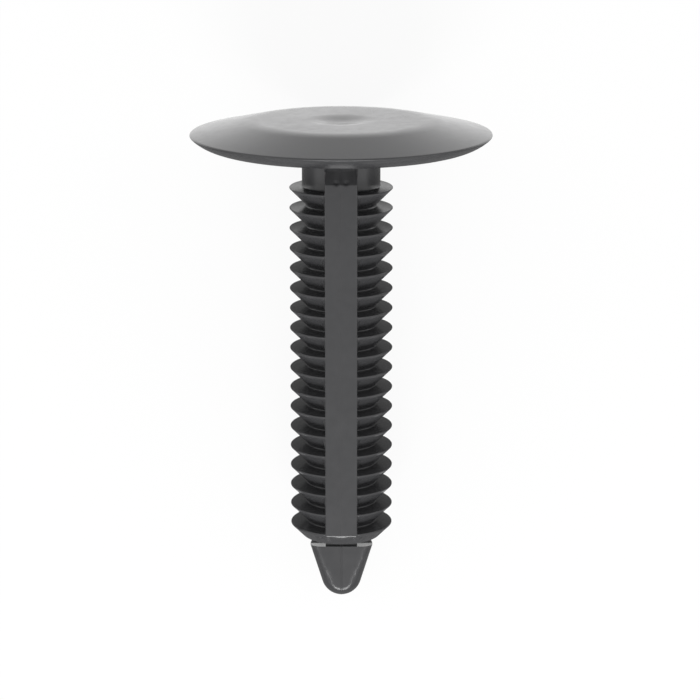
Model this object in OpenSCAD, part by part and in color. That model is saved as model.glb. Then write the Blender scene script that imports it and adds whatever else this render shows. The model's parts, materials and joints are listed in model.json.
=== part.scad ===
// Push-in shield retainer, moulded in one piece: a broad low head on a barbed shank.
// It lies on its side as it comes to rest: the rim of the head and the lower end of
// the shank's web touch the floor at z = 0. Lengths along the shank count from the
// seat, the flat underside of the head.

/* [Head] */
// Diameter of the head over its rim
head_d = 25.4; // [22:0.1:32]
// Height of the flat top above the seat
head_h = 2.26; // [1.8:0.02:3.2]
// Diameter of the flat top
flat_d = 15.2; // [8:0.1:17]
// Height of the rim's edge above the seat
edge_h = 1.12; // [0.8:0.02:1.4]
// How far the rounded underside of the rim reaches in from its edge
rim_reach = 2.65; // [1.6:0.05:3.4]
// Diameter of the dimple in the flat top
dimple_d = 6.2; // [3:0.1:7]
// Depth of the dimple
dimple_depth = 0.2; // [0.1:0.02:0.4]

/* [Shank] */
// Diameter of the plain neck under the head
neck_d = 6.56; // [6:0.02:6.7]
// Radius of the fillet between the neck and the seat
neck_fillet_r = 0.35; // [0.1:0.05:0.6]
// Diameter of the core between the barbs
core_d = 6.8; // [6.7:0.02:7.2]
// Diameter over the crests of the barbs
barb_d = 8.66; // [8.4:0.02:9]
// Number of barbs
barb_count = 18; // [6:1:24]
// Distance from one barb to the next
barb_pitch = 1.718; // [1.6:0.002:2.4]
// Distance from the seat to the first crest
barb_start = 3.4; // [3.2:0.02:6]
// Slope of a barb's upper flank, measured from the plane of the seat
barb_slope = 29; // [20:1:35]
// Width of the land on a crest
barb_land = 0.1; // [0.05:0.01:0.2]
// Width of the core that shows between two barbs
barb_gap = 0.09; // [0.05:0.01:0.2]

/* [Web] */
// Width of the web that runs down the front and back of the shank
web_w = 2.7; // [2:0.1:3]
// Depth of the web from its front face to its back face
web_d = 8.2; // [8:0.02:8.3]
// Distance from the seat to the foot of the ramp at the web's upper end
web_start = 1.9; // [1.5:0.05:2.1]
// Length of that ramp along the shank
web_ramp = 0.9; // [0.5:0.05:1]
// How far the web runs past the last crest
web_past = 0.28; // [0.1:0.02:0.6]

/* [Tip] */
// Height of the groove between the last barb and the tip
groove_h = 0.83; // [0.5:0.01:1.2]
// Depth of the web that crosses the groove
groove_web_d = 2.4; // [2:0.1:2.6]
// Diameter of the tip at its ledge
tip_d = 5.4; // [5.2:0.1:6.4]
// Depth of the tip between its flat front and back
tip_flat_d = 2.9; // [2.7:0.1:4]
// Depth of the shallow trough across the ledge
trough_h = 0.16; // [0.05:0.01:0.3]
// Length of the tip from its ledge to its end
tip_l = 4.73; // [4:0.01:8]
// Radius of the rounded end
nose_r = 1.72; // [1:0.02:2]

/* [Hidden] */
$fn = 96;

// The head's section
head_r = head_d / 2;
flat_r = flat_d / 2;
round_x = head_r - rim_reach;
round_r = (rim_reach * rim_reach + edge_h * edge_h) / (2 * edge_h);
dimple_r = dimple_d / 2;
dimple_ball_r = (dimple_r * dimple_r + dimple_depth * dimple_depth) / (2 * dimple_depth);

// The barbs' section
neck_r = neck_d / 2;
core_r = core_d / 2;
barb_r = barb_d / 2;
upper_flank_h = (barb_r - core_r) * tan(barb_slope);
lower_flank_h = barb_pitch - upper_flank_h - barb_land - barb_gap;
last_crest = -barb_start - (barb_count - 1) * barb_pitch;
core_end = last_crest - barb_land / 2 - lower_flank_h;

// The web's outline from the side; the ramp's foot lies inside the neck
web_half = web_d / 2;
web_foot = 0.85 * neck_r;
web_end = last_crest - web_past;

// The tip's section: a cone that runs into a ball without an edge
tip_r = tip_d / 2;
tip_half = tip_flat_d / 2;
ledge = core_end - groove_h;
tip_end = ledge - tip_l;
nose_z = tip_end + nose_r;
nose_drop = ledge - nose_z;
tip_half_angle = atan(tip_r / nose_drop) - asin(nose_r / norm([tip_r, nose_drop]));
cone_h = nose_drop + nose_r * sin(tip_half_angle);

// The lying pose: the rim's edge and the web's end touch the floor together
rest_tilt = atan((head_r - web_half) / (edge_h - web_end));
seat_height = web_half * cos(rest_tilt) - web_end * sin(rest_tilt);
head_reach = max(
    edge_h * cos(rest_tilt) + head_r * sin(rest_tilt),
    head_h * cos(rest_tilt) + flat_r * sin(rest_tilt)
);
tip_reach = nose_z * cos(rest_tilt) - nose_r;
seat_y = -(head_reach + tip_reach) / 2;

// Half of the head's section, with its axis at x = 0 and the seat at y = 0
module head_section() {
    polygon([
        [0, 0],
        [round_x, 0],
        [head_r, edge_h],
        [flat_r, head_h],
        [0, head_h]
    ]);
    intersection() {
        translate([round_x, round_r])
            circle(r = round_r);
        polygon([[round_x, 0], [head_r, 0], [head_r, edge_h]]);
    }
}

// The low conical head, with a shallow dimple in its flat top
module head() {
    difference() {
        rotate_extrude()
            head_section();
        translate([0, 0, head_h - dimple_depth + dimple_ball_r])
            sphere(r = dimple_ball_r);
    }
}

// The fillet that blends the neck into the seat
module neck_fillet() {
    rotate_extrude()
        translate([neck_r, 0])
            difference() {
                translate([-neck_fillet_r, -neck_fillet_r])
                    square([2 * neck_fillet_r, 2 * neck_fillet_r]);
                translate([neck_fillet_r, -neck_fillet_r])
                    circle(r = neck_fillet_r);
            }
}

// The four corners of one barb: a steep upper flank, the crest and a long lower flank
function barb_points(i) =
    let (
        crest = -barb_start - i * barb_pitch,
        root_r = i == 0 ? neck_r : core_r
    )
    [
        [root_r, crest + barb_land / 2 + (barb_r - root_r) * tan(barb_slope)],
        [barb_r, crest + barb_land / 2],
        [barb_r, crest - barb_land / 2],
        [core_r, crest - barb_land / 2 - lower_flank_h]
    ];

// The round neck and the barbs below it, flush with the faces of the web
module barbed_shank() {
    intersection() {
        rotate_extrude()
            polygon(concat(
                [[0, core_end], [0, head_h / 2], [neck_r, head_h / 2]],
                [for (i = [0 : barb_count - 1]) each barb_points(i)]
            ));
        translate([-head_r, -web_half, ledge])
            cube([head_d, web_d, head_h - ledge]);
    }
}

// The flat-sided web with its ramp, and its narrower run across the groove to the tip
module web() {
    translate([-web_w / 2, 0, 0])
        rotate([90, 0, 90])
            linear_extrude(height = web_w)
                polygon([
                    [-web_half, web_end],
                    [web_half, web_end],
                    [web_half, -web_start - web_ramp],
                    [web_foot, -web_start],
                    [-web_foot, -web_start],
                    [-web_half, -web_start - web_ramp]
                ]);
    translate([-web_w / 2, -groove_web_d / 2, ledge - groove_h])
        cube([web_w, groove_web_d, web_end - ledge + groove_h]);
}

// Half of the tip's section
module tip_section() {
    polygon([
        [0, ledge],
        [0, nose_z],
        [nose_r * cos(tip_half_angle), ledge - cone_h],
        [tip_r, ledge]
    ]);
    intersection() {
        translate([0, nose_z])
            circle(r = nose_r);
        polygon([
            [0, nose_z],
            [0, tip_end],
            [nose_r, tip_end],
            [nose_r, ledge - cone_h],
            [nose_r * cos(tip_half_angle), ledge - cone_h]
        ]);
    }
}

// The bullet-shaped tip that finds the hole, flat in front and behind
module tip() {
    intersection() {
        rotate_extrude()
            tip_section();
        translate([-tip_d, 0, 0])
            rotate([90, 0, 90])
                linear_extrude(height = 2 * tip_d)
                    polygon([
                        [-tip_half, tip_end - 1],
                        [tip_half, tip_end - 1],
                        [tip_half, ledge],
                        [0, ledge - trough_h],
                        [-tip_half, ledge]
                    ]);
    }
}

// The whole moulding, laid down on its rim and the end of its web
module retainer() {
    color("#3b3b3d")
        translate([0, seat_y, seat_height])
            rotate([rest_tilt - 90, 0, 0]) {
                head();
                neck_fillet();
                barbed_shank();
                web();
                tip();
            }
}

retainer();
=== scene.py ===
import json
import math

import bpy
import numpy as np
from bpy.props import FloatProperty, FloatVectorProperty, IntProperty, PointerProperty
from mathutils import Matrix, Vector


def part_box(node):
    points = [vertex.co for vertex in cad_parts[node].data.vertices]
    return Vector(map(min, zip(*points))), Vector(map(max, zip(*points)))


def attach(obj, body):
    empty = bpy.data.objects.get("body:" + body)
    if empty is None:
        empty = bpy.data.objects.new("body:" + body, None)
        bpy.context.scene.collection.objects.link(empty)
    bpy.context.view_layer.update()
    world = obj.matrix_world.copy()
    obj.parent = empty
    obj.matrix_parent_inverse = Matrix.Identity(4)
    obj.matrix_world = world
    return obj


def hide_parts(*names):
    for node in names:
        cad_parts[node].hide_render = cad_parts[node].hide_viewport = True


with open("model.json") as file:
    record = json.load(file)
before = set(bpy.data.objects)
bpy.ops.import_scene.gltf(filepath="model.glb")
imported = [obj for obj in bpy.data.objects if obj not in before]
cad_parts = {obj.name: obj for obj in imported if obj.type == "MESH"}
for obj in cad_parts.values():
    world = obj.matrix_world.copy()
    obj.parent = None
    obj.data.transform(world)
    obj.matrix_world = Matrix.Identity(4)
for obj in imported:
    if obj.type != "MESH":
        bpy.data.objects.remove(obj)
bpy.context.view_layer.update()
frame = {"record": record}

bl_info = {
    "name": "Shield retainer",
    "version": (1, 0, 0),
    "blender": (4, 2, 0),
    "location": "View3D > Sidebar > Retainer",
    "description": "Builds a push-in shield retainer with a barbed shank, and a studio round it",
    "category": "Add Mesh",
}

MOUNTS = {mount["name"]: mount for mount in frame["record"]["mounts"]}
NODE_LOW, NODE_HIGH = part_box("retainer")

# The part's own axes in the row frame: across the web, out of its front face, and up the
# shank to the head, with the origin where the axis meets the seat
ACROSS = np.array((1.0, 0.0, 0.0))
TO_HEAD = -np.array(MOUNTS["barbed_shank"]["axis"])
TO_HEAD = TO_HEAD / np.linalg.norm(TO_HEAD)
TO_FRONT = np.cross(ACROSS, TO_HEAD)
SEAT_CENTRE = np.array(MOUNTS["seat"]["pos_m"]) * (0.0, 1.0, 1.0)

# Latitude of the last row on the nose's ball; a pole closes the rest
NOSE_STOP = math.radians(86)
# Edges that turn by more than this are shaded as edges
SHARP_ANGLE = math.radians(42)
# Half depth that cuts nothing off, and the least that can be divided by
UNCUT = 1.0
LEAST_DEPTH = 1e-5


def length(name, description, default):
    """A length in metres, shown in the scene's unit."""
    return FloatProperty(
        name=name,
        description=description,
        default=default,
        min=0.0,
        precision=5,
        unit="LENGTH",
    )


def number(name, description, default):
    """A plain number that is never below zero."""
    return FloatProperty(name=name, description=description, default=default, min=0.0)


class RetainerSizes(bpy.types.PropertyGroup):
    """Sizes of the moulding; places along the shank count from the seat."""

    head_d: length("Head", "Diameter of the head", NODE_HIGH.x - NODE_LOW.x)
    head_h: length("Head height", "Height of the flat top above the seat", 0.00226)
    flat_d: length("Flat top", "Diameter of the flat top", 0.0152)
    flat_blend: length("Flat blend", "Radius that blends the flat top into the slope", 0.007)
    edge_h: length("Edge height", "Height of the rim's edge above the seat", 0.00112)
    edge_soft: length("Edge radius", "Radius of the rim's edge", 0.0001)
    rim_reach: length("Rim reach", "How far the rim's rounded underside reaches in", 0.00265)
    dimple_d: length("Dimple", "Diameter of the dimple", 0.0062)
    dimple_depth: length("Dimple depth", "Depth of the dimple", 0.00024)
    neck_d: length("Neck", "Diameter of the neck", 0.00656)
    neck_fillet: length("Neck fillet", "Radius between the neck and the seat", 0.00035)
    core_d: length("Core", "Diameter of the core between the barbs", 0.0059)
    barb_d: length("Barbs", "Diameter over the crests", 0.002 * MOUNTS["barbed_shank"]["dims"]["r_mm"])
    barb_count: IntProperty(name="Barb count", description="Number of barbs", default=18, min=2)
    barb_pitch: length("Barb pitch", "Distance from one barb to the next", 0.001718)
    barb_start: length("First barb", "Distance from the seat to the first crest", 0.0034)
    barb_slope: FloatProperty(
        name="Barb slope",
        description="Slope of an upper face from the plane of the seat",
        default=math.radians(6),
        subtype="ANGLE",
    )
    barb_land: length("Barb land", "Width of the land on a crest", 0.0001)
    barb_gap: length("Barb gap", "Width of the core between two barbs", 0.0001)
    barb_past: length("Last barb", "How far the last barb runs below its crest", 0.0010625)
    barb_soft: length("Barb edge", "Radius of the crests and roots", 0.00005)
    web_w: length("Web width", "Width of the web", 0.0027)
    web_d: length("Web depth", "Depth of the web from face to face", 0.0082)
    web_start: length("Web start", "Distance from the seat to the foot of the web's ramp", 0.0006)
    web_ramp: length("Web ramp", "Length of the ramp at the web's upper end", 0.0019)
    web_past: length("Web past barbs", "How far the web runs past the last crest", 0.00028)
    web_soft: length("Web end edge", "Radius of the edges at the web's ends", 0.0002)
    groove_h: length("Groove", "Height of the groove above the tip", 0.00083)
    groove_web_d: length("Groove web", "Depth of the web across the groove", 0.0024)
    tip_d: length("Tip", "Diameter of the tip at its ledge", 0.0054)
    tip_flat_d: length("Tip depth", "Depth of the tip between its flat front and back", 0.0029)
    trough_h: length("Trough", "Depth of the shallow trough across the ledge", 0.00016)
    tip_l: length("Tip length", "Length of the tip from its ledge", 0.00473)
    tip_soft: length("Tip edge", "Radius of the tip's ledge", 0.00006)
    nose_r: length("Nose", "Radius of the tip's end", 0.00172)
    seam_h: length("Seam height", "Height of the mould's parting seam", 0.00003)
    seam_w: length("Seam width", "Half width of the parting seam", 0.00007)
    seam_web: number("Seam on the web", "Share of the seam's height that the web's faces have", 0.4)
    pit_aside: length("Pit place", "Distance of the two pits from the seam", 0.0004)
    pit_drop: length("Pit drop", "Distance from the seat to the pits", 0.0024)
    pit_r: length("Pit size", "Radius of a pit", 0.00016)
    pit_h: length("Pit depth", "Depth of a pit", 0.00014)


class RetainerFinish(bpy.types.PropertyGroup):
    """Look of the black nylon."""

    colour: FloatVectorProperty(
        name="Colour",
        description="Colour of the nylon",
        subtype="COLOR",
        size=3,
        default=(0.042, 0.042, 0.044),
    )
    roughness: FloatProperty(
        name="Roughness",
        description="Mean roughness of the moulded skin",
        default=0.24,
        min=0.0,
        max=1.0,
        subtype="FACTOR",
    )
    grain: length("Grain", "Depth of the moulded grain", 0.000004)
    grain_share: number("Grain share", "Share of the fine grain in the relief, the rest being mottle", 0.7)
    grain_scale: number("Grain scale", "Grains to the metre", 9000.0)
    mottle_scale: number("Mottle scale", "Mottles to the metre", 1300.0)
    cloud_scale: number("Cloud scale", "Clouds to the metre", 220.0)
    tone_spread: number("Tone spread", "How far the tone strays from the colour, as a share of it", 0.14)
    rough_mottle: number("Rough mottle", "Spread of the roughness from mottle to mottle", 0.1)
    rough_cloud: number("Rough cloud", "Spread of the roughness from cloud to cloud", 0.08)


class RetainerStudio(bpy.types.PropertyGroup):
    """Camera and light, and the painted reflection in the floor."""

    distance: length("Distance", "Distance from the camera down to the shank's axis", 0.22336)
    aim: length("Aim", "Distance from the seat to the point of the axis under the camera", 0.01745)
    aside: length("Aside", "How far the camera stands to the right of the axis", 0.00074)
    lens: number("Lens", "Focal length in millimetres", 135.4)
    sky: number("Sky", "Strength of the even white light", 0.66)
    front: number("Front", "Power of the front soft box, in watts", 4.2)
    side: number("Side", "Power of each side soft box, in watts", 0.4)
    # Painted reflection: in glossy rays the floor glows dim beside the shank (painted shade) and bright
    # behind the head, fading far behind it
    painted_dim_to: length("Dim to", "Where the floor's dim part ends, along Y", 0.015)
    painted_bright_from: length("Bright from", "Where the floor is brightest, along Y", 0.022)
    far: length("Far", "Where the floor has faded behind the head, along Y", 0.044)
    painted_dim_reflection: number("Floor dim", "The dim floor in reflections", 0.14)
    painted_bright_reflection: number("Floor bright", "The floor close behind the head in reflections", 1.56)
    painted_far_reflection: number("Floor far", "The floor far behind the head in reflections", 0.76)
    # Painted highlight: a bright band in the floor's glow in glossy rays, near the groove
    painted_band_at: length("Band place", "Distance from the seat to the point of the axis above the band", 0.0331)
    painted_band_half: length("Band half width", "Half width of the evenly bright middle of the band", 0.0006)
    painted_band_fade: length("Band fade", "Distance from its middle at which the band has faded", 0.0017)
    band: number("Band", "The floor's band near the groove in reflections", 1.3)
    floor_white: FloatProperty(
        name="Floor white",
        description="How much of the floor's white shows whatever the shadow",
        default=0.9,
        min=0.0,
        max=1.0,
        subtype="FACTOR",
    )


def eased_path(corners, radii, steps, runs, most=0.45):
    """An open polyline with rounded corners, as an array of points.

    Each inner corner becomes a circular arc: a rational parabola whose ends lie on the two
    sides, at the radius over the tangent of half the corner's angle but within `most` of the
    shorter side, and whose middle point weighs the sine of that half angle. The straight
    run between two arcs also gets points at the given fractions of its length.
    """
    corners = np.asarray(corners, float)
    inner = corners[1:-1]
    back = corners[:-2] - inner
    ahead = corners[2:] - inner
    back_len = np.linalg.norm(back, axis=1, keepdims=True)
    ahead_len = np.linalg.norm(ahead, axis=1, keepdims=True)
    back = back / back_len
    ahead = ahead / ahead_len
    half = 0.5 * np.arccos(np.clip((back * ahead).sum(axis=1, keepdims=True), -1.0, 1.0))
    limit = most * np.minimum(back_len, ahead_len)
    reach = np.minimum(np.reshape(radii, (-1, 1)) / np.tan(half), limit)
    first = inner + back * reach
    last = inner + ahead * reach
    u = np.linspace(0.0, 1.0, steps)[None, :, None]
    middle = 2 * u * (1 - u) * np.sin(half)[:, None, :]
    weight = (1 - u) ** 2 + middle + u**2
    arc = ((1 - u) ** 2 * first[:, None] + middle * inner[:, None] + u**2 * last[:, None]) / weight
    starts = np.vstack((corners[:1], last))[:, None]
    ends = np.vstack((first, corners[-1:]))[:, None]
    t = np.asarray(runs)[None, :, None]
    run = starts * (1 - t) + ends * t
    body = np.concatenate((run[:-1], arc), axis=1).reshape(-1, 2)
    return np.vstack((corners[:1], body, run[-1], corners[-1:]))


def head_path(size):
    """Radius and place along the axis from the dimple over the head to the start of the neck.

    The dimple is a raised cosine. The flat top, the slope and the rim's edge follow as a
    polyline with rounded corners, the rim's underside as an arc of a circle that runs into
    the seat without an edge, and the seat and the neck as a polyline with a fillet.
    """
    head_r = size.head_d / 2
    neck_r = size.neck_d / 2
    dimple_r = size.dimple_d / 2
    bowl_r = dimple_r * np.linspace(0.05, 0.98, 16)
    bowl_z = size.head_h - size.dimple_depth * (1 + np.cos(np.pi * bowl_r / dimple_r)) / 2
    round_r = (size.rim_reach**2 + size.edge_h**2) / (2 * size.edge_h)
    turn = math.asin(size.rim_reach / round_r) * np.linspace(0.86, 0.0, 10)
    under = np.column_stack((
        head_r - size.rim_reach + round_r * np.sin(turn),
        round_r * (1 - np.cos(turn)),
    ))
    top = eased_path(
        ((dimple_r, size.head_h), (size.flat_d / 2, size.head_h), (head_r, size.edge_h), under[0]),
        (size.flat_blend, size.edge_soft),
        steps=7,
        runs=(0.03, 0.35, 0.7, 0.97),
        most=0.75,
    )
    seat = eased_path(
        (under[-1], (neck_r, 0.0), (neck_r, -2 * size.neck_fillet)),
        (size.neck_fillet,),
        steps=6,
        runs=(0.3, 0.7, 0.97),
    )
    return np.vstack((np.column_stack((bowl_r, bowl_z)), top, under[1:-1], seat))


def barb_path(size):
    """Radius and place along the axis down the neck and over the barbs to the core's end.

    Each barb has four corners: the root of its upper face, the two edges of its land and
    the foot of its lower flank. The first root lies on the neck, and the last flank is cut
    off at the groove.
    """
    neck_r = size.neck_d / 2
    core_r = size.core_d / 2
    barb_r = size.barb_d / 2
    rise = math.tan(size.barb_slope)
    upper = (barb_r - core_r) * rise
    lower = size.barb_pitch - upper - size.barb_land - size.barb_gap
    crest = -size.barb_start - size.barb_pitch * np.arange(size.barb_count)
    land = size.barb_land / 2
    radius = np.tile((core_r, barb_r, barb_r, core_r), (size.barb_count, 1))
    radius[0, 0] = neck_r
    root = crest + land + (barb_r - radius[:, 0]) * rise
    place = np.stack((root, crest + land, crest - land, crest - land - lower), axis=1)
    cut = size.barb_past - land
    radius[-1, 3] = barb_r - cut * (barb_r - core_r) / lower
    place[-1, 3] = crest[-1] - size.barb_past
    corners = np.column_stack((radius.ravel(), place.ravel()))
    corners = np.vstack(((neck_r, -2 * size.neck_fillet), corners))
    radii = np.full(len(corners) - 2, size.barb_soft)
    return eased_path(corners, radii, steps=2, runs=(0.2, 0.8))


def web_depth(size, place, web_end):
    """Rows down the shank and the half depth of the web in each.

    Seen from the side the web is a long bar with a ramp at its upper end, whose foot lies
    inside the neck; below the bar the half depth is that of the narrower run across the
    groove, which the core hides. Rows are added where that outline has points, which are
    nudged apart where they share a place, and near the pits.
    """
    hidden = size.groove_web_d / 2
    face = size.web_d / 2
    ramp_end = -size.web_start - size.web_ramp
    foot = 0.85 * size.neck_d / 2
    corners = ((foot, -size.web_start), (face, ramp_end), (face, web_end), (hidden, web_end))
    outline = eased_path(corners, (size.web_soft, size.web_soft), steps=5, runs=(0.5, 0.97))
    nudge = 1e-9
    fall = outline[:, 1] - nudge * np.arange(len(outline))
    extra = np.linspace(-size.pit_drop + 2 * size.pit_r, -size.pit_drop - 2 * size.pit_r, 8)
    order = np.sort(np.concatenate((place, fall, extra)))[::-1]
    return order, np.interp(-order, -fall, outline[:, 0])


def retainer_rows(size):
    """Rows of the moulding from the dimple to the nose, as arrays.

    They are the radius and the place, the web's half depth, the slab (the half depth to
    which the barbs and the tip are cut flat), the strength of the seam and that of the
    trough, which is full on the ledge and fades down the tip's cone. In the groove the
    radius stays hidden inside the web.
    """
    head = head_path(size)
    barbs = barb_path(size)
    core_end = barbs[-1, 1]
    web_end = -size.barb_start - size.barb_pitch * (size.barb_count - 1) - size.web_past
    place, depth = web_depth(size, barbs[1:, 1], web_end)
    shank = np.column_stack((np.interp(-place, -barbs[:, 1], barbs[:, 0]), place))
    ledge = core_end - size.groove_h
    tip_r = size.tip_d / 2
    nose_z = ledge - size.tip_l + size.nose_r
    drop = ledge - nose_z
    slant = math.atan(tip_r / drop) - math.asin(size.nose_r / math.hypot(tip_r, drop))
    hidden = 0.25 * size.web_w
    turn = np.linspace(slant, NOSE_STOP, 14)
    ball = np.column_stack((size.nose_r * np.cos(turn), nose_z - size.nose_r * np.sin(turn)))
    groove = np.array(((hidden, core_end), (hidden, (core_end + ledge) / 2), (hidden, ledge)))
    cone = eased_path(
        ((1.2 * hidden, ledge), (tip_r, ledge), ball[0]),
        (size.tip_soft,),
        steps=4,
        runs=(0.3, 0.5, 0.7, 0.95),
    )
    path = np.vstack((head, shank, groove, cone, ball[1:]))
    counts = (len(head), len(shank), len(groove), len(cone), len(ball) - 1)
    across_groove = size.groove_web_d / 2
    web = np.repeat((0.0, 0.0, across_groove, across_groove, 0.0), counts)
    web[len(head):len(head) + len(shank)] = depth
    below_ledge = path[:, 1] < ledge - 1e-7
    web[below_ledge] = 0.0
    tip_half = size.tip_flat_d / 2
    slab = np.repeat((UNCUT, size.web_d / 2, UNCUT, tip_half, tip_half), counts)
    seam = np.repeat((0.0, 1.0, 0.0, 1.0, 1.0), counts)
    on_web = web > 0.9 * size.web_d / 2
    seam[on_web] = size.seam_web
    trough = np.repeat((0.0, 0.0, 0.0, 1.0, 0.0), counts)
    trough = trough * np.clip((path[:, 1] - ball[0, 1]) / (ledge - ball[0, 1]), 0.0, 1.0)
    return path, web, slab, seam, trough


def retainer_angles(size):
    """Angles round the axis from the front face, closest at the seam and at the web's edges."""
    edge = math.degrees(math.atan(size.web_w / size.web_d))
    foot = math.degrees(math.asin(size.web_w / size.core_d))
    flat = math.degrees(math.acos(size.tip_flat_d / size.tip_d))
    quarter = np.concatenate((
        np.linspace(0.0, 2.0, 4, endpoint=False),
        np.linspace(2.0, edge - 2.5, 9, endpoint=False),
        np.linspace(edge - 2.5, edge + 2.0, 8, endpoint=False),
        np.linspace(edge + 2.0, foot + 2.0, 6, endpoint=False),
        np.linspace(foot + 2.0, flat + 4.0, 20, endpoint=False),
        np.linspace(flat + 4.0, 90.0, 10, endpoint=False),
    ))
    half = np.concatenate((quarter, [90.0], 180.0 - quarter[:0:-1]))
    return np.radians(np.concatenate((half, 180.0 + half)))


def retainer_grid(size):
    """Points of the moulding, rows from the dimple to the nose and columns round the axis.

    In polar form about the axis, the ring's radius is cut by the slab through a high power
    mean, the web is a superellipse of a high power, and the section is the larger of the
    two. A bell-shaped ridge is added along the seam, and two bell-shaped pits are taken out
    beside it. The ledge falls in proportion to the distance from the tip's flat faces.
    """
    path, web, slab, seam, trough = retainer_rows(size)
    angle = retainer_angles(size)[None, :]
    sine = np.abs(np.sin(angle))
    cosine = np.abs(np.cos(angle))
    power = 50.0
    ring = ((1.0 / path[:, :1]) ** power + (cosine / slab[:, None]) ** power) ** (-1.0 / power)
    depth = np.maximum(web, LEAST_DEPTH)[:, None]
    blade = ((sine / (size.web_w / 2)) ** power + (cosine / depth) ** power) ** (-1.0 / power)
    radius = np.maximum(ring, np.where(web[:, None] > 0.0, blade, 0.0))
    aside = radius * sine
    radius = radius + size.seam_h * seam[:, None] * np.exp(-((aside / size.seam_w) ** 2))
    away = (aside - size.pit_aside) ** 2 + (path[:, 1:] + size.pit_drop) ** 2
    radius = radius - size.pit_h * np.exp(-away / size.pit_r**2) * (seam[:, None] > 0.0)
    x = radius * np.sin(angle)
    u = radius * np.cos(angle)
    inward = np.clip(1.0 - np.abs(u) / (size.tip_flat_d / 2), 0.0, 1.0)
    z = path[:, 1:] - size.trough_h * trough[:, None] * inward
    return SEAT_CENTRE + x[..., None] * ACROSS + u[..., None] * TO_FRONT + z[..., None] * TO_HEAD


def closed_mesh(name, grid, top, bottom):
    """A mesh over a grid that is closed round its columns and runs to a pole at each end."""
    rows, columns = grid.shape[:2]
    points = np.vstack((grid.reshape(-1, 3), top, bottom))
    i = np.arange(rows - 1)[:, None] * columns
    j = np.arange(columns)[None, :]
    after = (j + 1) % columns
    quads = np.stack((i + j, i + columns + j, i + columns + after, i + after), axis=-1).reshape(-1, 4)
    ring = np.arange(columns)
    turned = (ring + 1) % columns
    end = (rows - 1) * columns
    caps = np.vstack((
        np.column_stack((np.full_like(ring, rows * columns), ring, turned)),
        np.column_stack((np.full_like(ring, rows * columns + 1), end + turned, end + ring)),
    ))
    loops = np.concatenate((quads.ravel(), caps.ravel()))
    totals = np.repeat((4, 3), (len(quads), len(caps)))
    mesh = bpy.data.meshes.new(name)
    mesh.vertices.add(len(points))
    mesh.vertices.foreach_set("co", points.ravel())
    mesh.loops.add(len(loops))
    mesh.loops.foreach_set("vertex_index", loops)
    mesh.polygons.add(len(totals))
    mesh.polygons.foreach_set("loop_start", np.concatenate(([0], np.cumsum(totals)[:-1])))
    mesh.polygons.foreach_set("use_smooth", np.ones(len(totals), bool))
    mesh.update(calc_edges=True)
    mesh.validate()
    mesh.set_sharp_from_angle(angle=SHARP_ANGLE)
    return mesh


class Wire:
    """A shader socket that takes part in sums; each operator adds one Math node."""

    def __init__(self, tree, socket=None):
        self.tree = tree
        self.socket = socket

    def node(self, kind, settings=None, sockets=None, out=0):
        """Adds a node: its settings first, then values or wires for its sockets by name or number."""
        made = self.tree.nodes.new(kind)
        for key, value in (settings or {}).items():
            setattr(made, key, value)
        for key, value in (sockets or {}).items():
            target = made.inputs[key]
            if isinstance(value, Wire):
                self.tree.links.new(value.socket, target)
            else:
                target.default_value = value
        return Wire(self.tree, made.outputs[out] if len(made.outputs) else None)

    def math(self, operation, first, second):
        """Adds a Math node on two values or wires."""
        return self.node("ShaderNodeMath", {"operation": operation}, {0: first, 1: second})

    def __add__(self, other):
        return self.math("ADD", self, other)

    def __radd__(self, other):
        return self.math("ADD", other, self)

    def __sub__(self, other):
        return self.math("SUBTRACT", self, other)

    def __rsub__(self, other):
        return self.math("SUBTRACT", other, self)

    def __mul__(self, other):
        return self.math("MULTIPLY", self, other)

    def __rmul__(self, other):
        return self.math("MULTIPLY", other, self)


def new_tree(owner):
    """An empty node tree on a material or world, as a wire to start from."""
    owner.use_nodes = True
    owner.node_tree.nodes.clear()
    return Wire(owner.node_tree)


def ramp(value, start, end, low, high, kind="SMOOTHSTEP"):
    """A wire that goes from low to high as a value goes from start to end."""
    return value.node(
        "ShaderNodeMapRange",
        {"interpolation_type": kind},
        {"Value": value, "From Min": start, "From Max": end, "To Min": low, "To Max": high},
    )


def nylon_material(finish):
    """Black nylon: a satin skin with a fine grain, cloudy in tone and in roughness."""
    material = bpy.data.materials.new("Black nylon")
    start = new_tree(material)
    place = start.node("ShaderNodeTexCoord", out="Object")
    noise = "ShaderNodeTexNoise"
    grain = start.node(noise, None, {"Vector": place, "Scale": finish.grain_scale, "Detail": 3.0})
    mottle = start.node(noise, None, {"Vector": place, "Scale": finish.mottle_scale, "Detail": 4.0})
    cloud = start.node(noise, None, {"Vector": place, "Scale": finish.cloud_scale, "Detail": 3.0})
    tone = 0.5 * mottle + 0.5 * cloud
    dark = [(1.0 - finish.tone_spread) * value for value in finish.colour]
    light = [(1.0 + finish.tone_spread) * value for value in finish.colour]
    colour = start.node(
        "ShaderNodeMix",
        {"data_type": "RGBA"},
        {"Factor": tone, 6: (*dark, 1.0), 7: (*light, 1.0)},
        out=2,
    )
    least = finish.roughness - (finish.rough_mottle + finish.rough_cloud) / 2
    rough = least + finish.rough_mottle * mottle + finish.rough_cloud * cloud
    height = finish.grain_share * grain + (1.0 - finish.grain_share) * mottle
    bump = start.node("ShaderNodeBump", None, {"Strength": 1.0, "Distance": finish.grain, "Height": height})
    skin = start.node(
        "ShaderNodeBsdfPrincipled",
        None,
        {"Base Color": colour, "Roughness": rough, "Normal": bump, "IOR": 1.5},
    )
    start.node("ShaderNodeOutputMaterial", None, {"Surface": skin})
    return material


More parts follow.
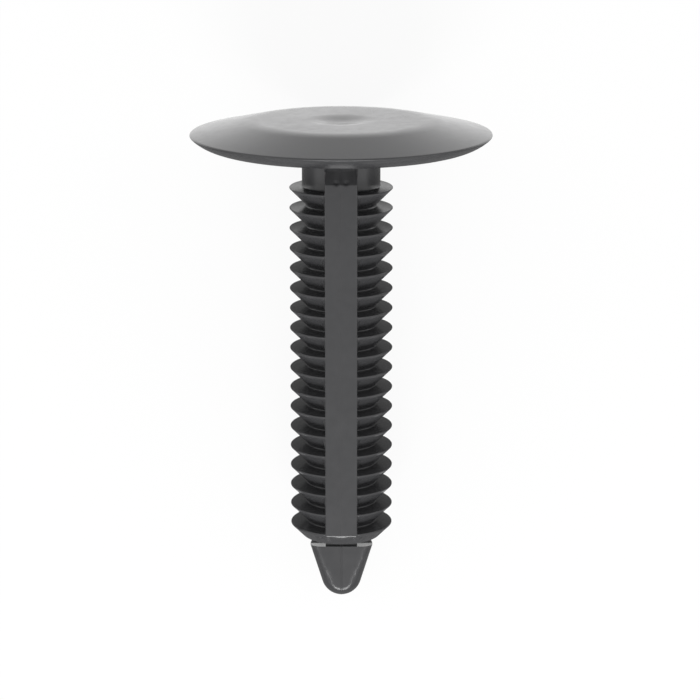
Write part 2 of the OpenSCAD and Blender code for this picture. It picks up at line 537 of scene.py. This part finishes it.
def floor_material(studio):
    """White floor that shows part of its white whatever the shadow.

    Its glow in the part's reflections is painted reflection: bright behind the head, dim beside
    the shank as painted shade, and bright in a band near the groove as a painted highlight.
    """
    material = bpy.data.materials.new("White floor")
    start = new_tree(material)
    paths = start.node("ShaderNodeLightPath")
    camera = Wire(start.tree, paths.socket.node.outputs["Is Camera Ray"])
    glossy = Wire(start.tree, paths.socket.node.outputs["Is Glossy Ray"])
    place = start.node("ShaderNodeTexCoord", out="Object")
    along = start.node("ShaderNodeSeparateXYZ", None, {0: place}, out="Y")
    # Painted reflection and painted shade: a glow that only glossy rays see, dim beside the shank and
    # bright behind the head
    rise = ramp(along, studio.painted_dim_to, studio.painted_bright_from, 0.0, 1.0)
    behind = ramp(along, studio.painted_bright_from, studio.far, studio.painted_bright_reflection, studio.painted_far_reflection, "LINEAR")
    # Painted highlight: a bright band in that glow near the groove
    under = (SEAT_CENTRE - studio.painted_band_at * TO_HEAD)[1]
    off = along.math("ABSOLUTE", along - under, 0.0)
    band = ramp(off, studio.painted_band_half, studio.painted_band_fade, studio.band, 0.0)
    # Camera rays see plain white, glossy rays the painted reflection
    tone = camera + (1.0 - camera) * (studio.painted_dim_reflection + rise * (behind - studio.painted_dim_reflection) + band)
    seen = (camera + glossy) * studio.floor_white
    matte = start.node("ShaderNodeBsdfDiffuse", None, {"Color": (0.9, 0.9, 0.9, 1.0)})
    white = start.node("ShaderNodeEmission", None, {"Color": tone, "Strength": 1.0})
    mixed = start.node("ShaderNodeMixShader", None, {0: seen, 1: matte, 2: white})
    start.node("ShaderNodeOutputMaterial", None, {"Surface": mixed})
    return material


def white_world(studio):
    """An even white sky that lights the part at the studio's strength and looks white itself."""
    world = bpy.data.worlds.new("White studio")
    start = new_tree(world)
    paths = start.node("ShaderNodeLightPath")
    camera = Wire(start.tree, paths.socket.node.outputs["Is Camera Ray"])
    strength = studio.sky + camera * (1.0 - studio.sky)
    sky = start.node("ShaderNodeBackground", None, {"Color": (1.0, 1.0, 1.0, 1.0), "Strength": strength})
    start.node("ShaderNodeOutputWorld", None, {"Surface": sky})
    return world


def soft_box(name, spot, extent, watts):
    """A rectangular lamp that looks from a spot at the origin."""
    data = bpy.data.lights.new(name, "AREA")
    data.shape = "RECTANGLE"
    data.size, data.size_y = extent
    data.energy = watts
    lamp = bpy.data.objects.new(name, data)
    bpy.context.scene.collection.objects.link(lamp)
    lamp.location = spot
    lamp.rotation_euler = (-Vector(spot)).to_track_quat("-Z", "Y").to_euler()


class RETAINER_OT_moulding(bpy.types.Operator):
    """Builds the moulding: head, neck, barbed shank with its web, and tip"""

    bl_idname = "retainer.moulding"
    bl_label = "Build moulding"

    def execute(self, context):
        size = context.scene.retainer_sizes
        grid = retainer_grid(size)
        last_r, last_place = retainer_rows(size)[0][-1]
        nose_end = last_place - last_r * math.tan((math.pi / 2 - NOSE_STOP) / 2)
        top = SEAT_CENTRE + TO_HEAD * (size.head_h - size.dimple_depth)
        mesh = closed_mesh("retainer_moulding", grid, top, SEAT_CENTRE + TO_HEAD * nose_end)
        mesh.materials.append(nylon_material(context.scene.retainer_finish))
        piece = bpy.data.objects.new("retainer_moulding", mesh)
        context.scene.collection.objects.link(piece)
        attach(piece, "root")
        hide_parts("retainer")
        return {"FINISHED"}


class RETAINER_OT_studio(bpy.types.Operator):
    """Sets the floor, the light and the camera"""

    bl_idname = "retainer.studio"
    bl_label = "Set studio"

    def execute(self, context):
        scene = context.scene
        studio = scene.retainer_studio
        reach = 1.2
        mesh = bpy.data.meshes.new("floor")
        mesh.from_pydata(
            [(-reach, -reach, 0.0), (reach, -reach, 0.0), (reach, reach, 0.0), (-reach, reach, 0.0)],
            [],
            [(0, 1, 2, 3)],
        )
        mesh.materials.append(floor_material(studio))
        floor = bpy.data.objects.new("floor", mesh)
        scene.collection.objects.link(floor)
        scene.world = white_world(studio)
        lamps = (
            ("Left soft box", (-0.5, 0.0, 0.3), (0.6, 0.5), studio.side),
            ("Right soft box", (0.5, 0.0, 0.3), (0.6, 0.5), studio.side),
            ("Front soft box", (0.0, -0.6, 0.36), (0.5, 0.3), studio.front),
        )
        for name, spot, extent, watts in lamps:
            soft_box(name, spot, extent, watts)
        data = bpy.data.cameras.new("Camera")
        data.lens = studio.lens
        data.sensor_width = 36.0
        data.clip_start = 0.01
        data.clip_end = 10.0
        camera = bpy.data.objects.new("Camera", data)
        scene.collection.objects.link(camera)
        under = SEAT_CENTRE - studio.aim * TO_HEAD
        camera.location = (studio.aside, under[1], under[2] + studio.distance)
        camera.rotation_euler = (0.0, 0.0, 0.0)
        scene.camera = camera
        scene.view_settings.view_transform = "Standard"
        return {"FINISHED"}


class RETAINER_PT_panel(bpy.types.Panel):
    """Lists the retainer's sizes, finish and studio, and the steps that build them"""

    bl_idname = "RETAINER_PT_panel"
    bl_label = "Shield retainer"
    bl_space_type = "VIEW_3D"
    bl_region_type = "UI"
    bl_category = "Retainer"

    def draw(self, context):
        layout = self.layout
        scene = context.scene
        for group in (scene.retainer_sizes, scene.retainer_finish, scene.retainer_studio):
            box = layout.box()
            for key in group.__annotations__:
                box.prop(group, key)
        layout.operator(RETAINER_OT_moulding.bl_idname)
        layout.operator(RETAINER_OT_studio.bl_idname)


CLASSES = (
    RetainerSizes,
    RetainerFinish,
    RetainerStudio,
    RETAINER_OT_moulding,
    RETAINER_OT_studio,
    RETAINER_PT_panel,
)


def register():
    for cls in CLASSES:
        bpy.utils.register_class(cls)
    bpy.types.Scene.retainer_sizes = PointerProperty(type=RetainerSizes)
    bpy.types.Scene.retainer_finish = PointerProperty(type=RetainerFinish)
    bpy.types.Scene.retainer_studio = PointerProperty(type=RetainerStudio)


def unregister():
    del bpy.types.Scene.retainer_studio
    del bpy.types.Scene.retainer_finish
    del bpy.types.Scene.retainer_sizes
    for cls in reversed(CLASSES):
        bpy.utils.unregister_class(cls)


def main():
    register()
    bpy.ops.retainer.moulding()
    bpy.ops.retainer.studio()


if __name__ == "__main__":
    main()
